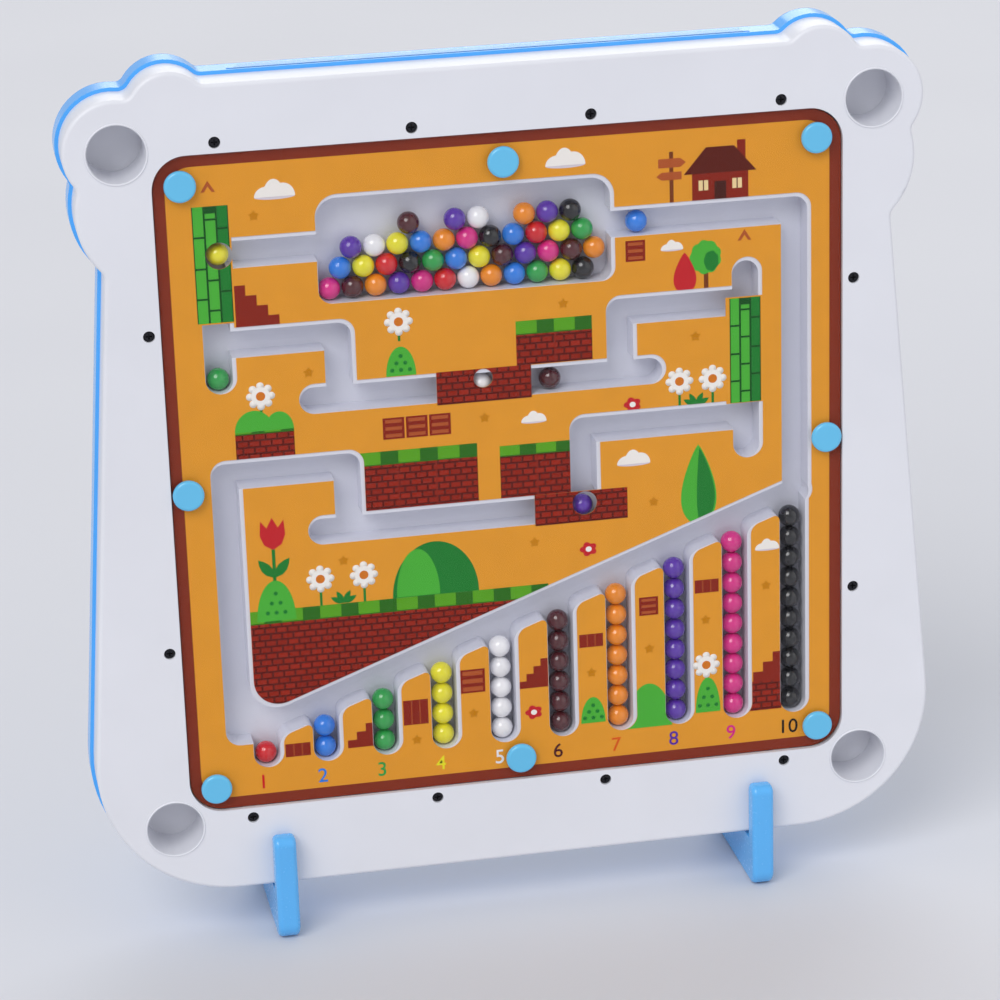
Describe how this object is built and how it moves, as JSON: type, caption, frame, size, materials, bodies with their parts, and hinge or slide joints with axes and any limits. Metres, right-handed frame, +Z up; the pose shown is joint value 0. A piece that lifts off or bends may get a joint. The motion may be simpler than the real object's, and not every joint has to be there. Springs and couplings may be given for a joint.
{
  "type": "magnetic maze and drawing board",
  "caption": "Two-sided magnetic toy board on foot stands: a bead maze with sorting columns on one side, a disc drawing screen with its pen on the other.",
  "frame": {"origin": "centre of the model's footprint, on the surface that it stands on", "axes": "+Z up, the maze side faces -Y, the drawing side faces +Y, X runs along the board's width"},
  "size_m": [0.3074, 0.0586, 0.3201],
  "materials": {
    "white_case": "moulded white, satin",
    "blue_case": "moulded sky blue, glossy",
    "blue_stand": "moulded light blue, glossy",
    "blue_caps": "moulded light blue, glossy",
    "printed_sheet": "printed and laminated, satin",
    "clear_cover": "clear, polished",
    "clear_card": "clear film with a printed dot pattern",
    "black_screws": "blackened steel",
    "white_screen": "moulded white, satin",
    "pen_yellow": "moulded yellow, glossy",
    "pen_magnet": "bare magnet, dark grey",
    "navy_plug": "moulded navy blue",
    "bead_red": "enamelled steel bead, glossy",
    "bead_blue": "enamelled steel bead, glossy",
    "bead_green": "enamelled steel bead, glossy",
    "bead_yellow": "enamelled steel bead, glossy",
    "bead_white": "enamelled steel bead, glossy",
    "bead_brown": "enamelled steel bead, glossy",
    "bead_orange": "enamelled steel bead, glossy",
    "bead_purple": "enamelled steel bead, glossy",
    "bead_pink": "enamelled steel bead, glossy",
    "bead_black": "enamelled steel bead, glossy",
    "disc_blue": "moulded magnetic disc, glossy",
    "disc_yellow": "moulded magnetic disc, glossy",
    "disc_red": "moulded magnetic disc, glossy",
    "disc_green": "moulded magnetic disc, glossy",
    "disc_black": "moulded magnetic disc, glossy"
  },
  "bodies": {
    "board": {"white_back_shell": "white_case", "blue_front_shell": "blue_case", "maze_tray": "white_case", "maze_label": "printed_sheet", "maze_cover": "clear_cover", "cover_caps": "blue_caps", "case_screws": "black_screws", "tray_screws": "black_screws", "disc_plate": "white_screen", "disc_window": "clear_cover"},
    "stand_left": {"stand_left": "blue_stand"},
    "stand_right": {"stand_right": "blue_stand"},
    "pen": {"pen_barrel": "pen_yellow", "pen_magnet": "pen_magnet", "pen_end_cap": "pen_yellow"},
    "filler_plug": {"filler_plug": "navy_plug"},
    "pattern_card": {"pattern_card": "clear_card"},
    "column_01": {"column_01_red_balls": "bead_red"},
    "column_02": {"column_02_blue_balls": "bead_blue"},
    "column_03": {"column_03_green_balls": "bead_green"},
    "column_04": {"column_04_yellow_balls": "bead_yellow"},
    "column_05": {"column_05_white_balls": "bead_white"},
    "column_06": {"column_06_brown_balls": "bead_brown"},
    "column_07": {"column_07_orange_balls": "bead_orange"},
    "column_08": {"column_08_purple_balls": "bead_purple"},
    "column_09": {"column_09_pink_balls": "bead_pink"},
    "column_10": {"column_10_black_balls": "bead_black"},
    "lane_yellow": {"lane_yellow_ball": "bead_yellow"},
    "lane_green": {"lane_green_ball": "bead_green"},
    "lane_blue": {"lane_blue_ball": "bead_blue"},
    "lane_brown": {"lane_brown_ball": "bead_brown"},
    "lane_white": {"lane_white_ball": "bead_white"},
    "lane_purple": {"lane_purple_ball": "bead_purple"},
    "pool_heap": {"pool_red_balls": "bead_red", "pool_blue_balls": "bead_blue", "pool_green_balls": "bead_green", "pool_yellow_balls": "bead_yellow", "pool_white_balls": "bead_white", "pool_brown_balls": "bead_brown", "pool_orange_balls": "bead_orange", "pool_purple_balls": "bead_purple", "pool_pink_balls": "bead_pink", "pool_black_balls": "bead_black"},
    "picture_discs": {"picture_red_discs": "disc_red", "picture_blue_discs": "disc_blue", "picture_green_discs": "disc_green", "picture_yellow_discs": "disc_yellow", "picture_black_discs": "disc_black"},
    "loose_discs": {"loose_red_discs": "disc_red", "loose_blue_discs": "disc_blue", "loose_green_discs": "disc_green", "loose_yellow_discs": "disc_yellow", "loose_black_discs": "disc_black"}
  },
  "joints": [
    {"name": "stand_left_slide", "type": "slide", "parent": "board", "child": "stand_left", "axis": [1, 0, 0], "range_m": [-0.008, 0.05]},
    {"name": "stand_right_slide", "type": "slide", "parent": "board", "child": "stand_right", "axis": [1, 0, 0], "range_m": [-0.05, 0.008]},
    {"name": "pen_lift", "type": "slide", "parent": "board", "child": "pen", "axis": [0, 1, 0], "range_m": [0, 0.025]},
    {"name": "plug_pull", "type": "slide", "parent": "board", "child": "filler_plug", "axis": [0, 1, 0], "range_m": [0, 0.01]},
    {"name": "card_slide", "type": "slide", "parent": "board", "child": "pattern_card", "axis": [0, 0, 1], "range_m": [0, 0.19]},
    {"name": "column_01_lift", "type": "slide", "parent": "board", "child": "column_01", "axis": [0, 0, 1], "range_m": [0, 0.004]},
    {"name": "column_02_lift", "type": "slide", "parent": "board", "child": "column_02", "axis": [0, 0, 1], "range_m": [0, 0.004]},
    {"name": "column_03_lift", "type": "slide", "parent": "board", "child": "column_03", "axis": [0, 0, 1], "range_m": [0, 0.004]},
    {"name": "column_04_lift", "type": "slide", "parent": "board", "child": "column_04", "axis": [0, 0, 1], "range_m": [0, 0.004]},
    {"name": "column_05_lift", "type": "slide", "parent": "board", "child": "column_05", "axis": [0, 0, 1], "range_m": [0, 0.004]},
    {"name": "column_06_lift", "type": "slide", "parent": "board", "child": "column_06", "axis": [0, 0, 1], "range_m": [0, 0.004]},
    {"name": "column_07_lift", "type": "slide", "parent": "board", "child": "column_07", "axis": [0, 0, 1], "range_m": [0, 0.004]},
    {"name": "column_08_lift", "type": "slide", "parent": "board", "child": "column_08", "axis": [0, 0, 1], "range_m": [0, 0.004]},
    {"name": "column_09_lift", "type": "slide", "parent": "board", "child": "column_09", "axis": [0, 0, 1], "range_m": [0, 0.004]},
    {"name": "column_10_lift", "type": "slide", "parent": "board", "child": "column_10", "axis": [0, 0, 1], "range_m": [0, 0.004]},
    {"name": "lane_yellow_roll", "type": "slide", "parent": "board", "child": "lane_yellow", "axis": [1, 0, 0], "range_m": [0, 0.034]},
    {"name": "lane_green_roll", "type": "slide", "parent": "board", "child": "lane_green", "axis": [0, 0, 1], "range_m": [0, 0.03]},
    {"name": "lane_blue_roll", "type": "slide", "parent": "board", "child": "lane_blue", "axis": [1, 0, 0], "range_m": [-0.004, 0.05]},
    {"name": "lane_brown_roll", "type": "slide", "parent": "board", "child": "lane_brown", "axis": [1, 0, 0], "range_m": [-0.014, 0.034]},
    {"name": "lane_white_roll", "type": "slide", "parent": "board", "child": "lane_white", "axis": [1, 0, 0], "range_m": [-0.056, 0]},
    {"name": "lane_purple_roll", "type": "slide", "parent": "board", "child": "lane_purple", "axis": [1, 0, 0], "range_m": [-0.08, 0.008]},
    {"name": "pool_heap_lift", "type": "slide", "parent": "board", "child": "pool_heap", "axis": [0, 0, 1], "range_m": [0, 0.007]},
    {"name": "picture_discs_lift", "type": "slide", "parent": "board", "child": "picture_discs", "axis": [0, 1, 0], "range_m": [0, 0.0025]},
    {"name": "loose_discs_lift", "type": "slide", "parent": "board", "child": "loose_discs", "axis": [0, 0, 1], "range_m": [0, 0.02]}
  ]
}
